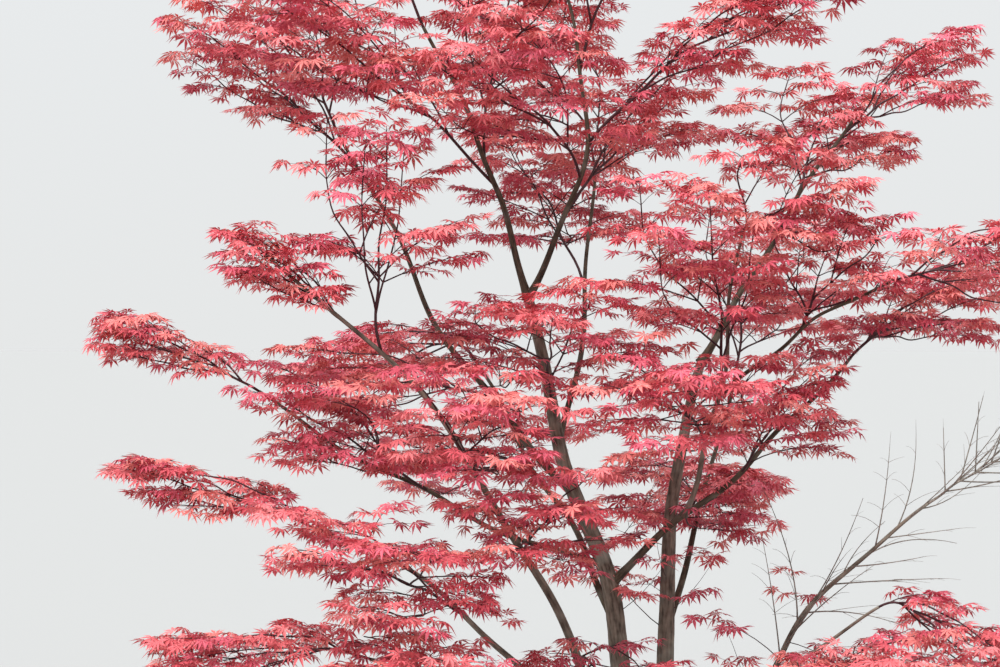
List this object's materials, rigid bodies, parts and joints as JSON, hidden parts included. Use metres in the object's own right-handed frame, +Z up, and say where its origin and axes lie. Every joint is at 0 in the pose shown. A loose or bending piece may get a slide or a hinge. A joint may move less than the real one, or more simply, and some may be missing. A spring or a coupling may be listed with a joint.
{
  "type": "japanese maple tree",
  "caption": "Young several-stemmed tree with a low root crown, leaning stems, thin boughs and layered masses of red palmate foliage.",
  "frame": {"origin": "middle of the flat cut under the root crown, at ground level", "axes": "+Z up along the tree's height, -Y to the front, +X to the right seen from the front"},
  "size_m": [2.7213, 2.2328, 3.2717],
  "materials": {
    "bark": "grey-brown mottled bark, fissured low down and smooth and dark higher up",
    "foliage": "soft matt coral red to crimson spring leaves on thin maroon twigs",
    "dry_twigs": "dry grey-tan bare twigs"
  },
  "bodies": {
    "root": {"trunk": "bark", "right_stem": "bark", "left_front_stem": "bark", "left_low_stem": "bark", "bottom_left_stem": "bark", "right_outer_stem": "bark", "low_right_stem": "bark", "left_leader": "bark", "right_leader": "bark", "left_back_limb": "bark", "left_tier_bough": "bark", "cross_limb": "bark", "right_back_bough": "bark", "right_front_stem": "bark", "right_reach_bough": "bark", "back_left_limb": "bark", "back_right_limb": "bark", "back_centre_limb": "bark", "crown_top": "foliage", "crown_left": "foliage", "crown_right": "foliage", "crown_back": "foliage", "upper_left": "foliage", "upper_far_left": "foliage", "upper_left_back": "foliage", "upper_right_tip": "foliage", "upper_right_inner": "foliage", "upper_centre_front": "foliage", "right_shoulder_tip": "foliage", "right_shoulder": "foliage", "right_upper_front": "foliage", "centre_upper_front": "foliage", "right_reach": "foliage", "right_reach_inner": "foliage", "right_outer": "foliage", "right_low": "foliage", "low_right_inner": "foliage", "low_centre_spray": "foliage", "centre_right_front": "foliage", "centre_front": "foliage", "centre_left_front": "foliage", "centre_low_front": "foliage", "left_spray": "foliage", "left_front_upper": "foliage", "left_tier": "foliage", "left_inner_tier": "foliage", "left_mid_tier": "foliage", "left_low_tier": "foliage", "low_left_front": "foliage", "bottom_left_reach": "foliage", "bottom_left_front": "foliage", "bottom_right": "foliage", "bottom_right_spray": "foliage", "bare_twigs": "dry_twigs", "back_top": "foliage", "back_centre": "foliage", "back_left": "foliage", "back_right": "foliage", "back_low_left": "foliage", "back_low_right": "foliage"}
  },
  "joints": []
}
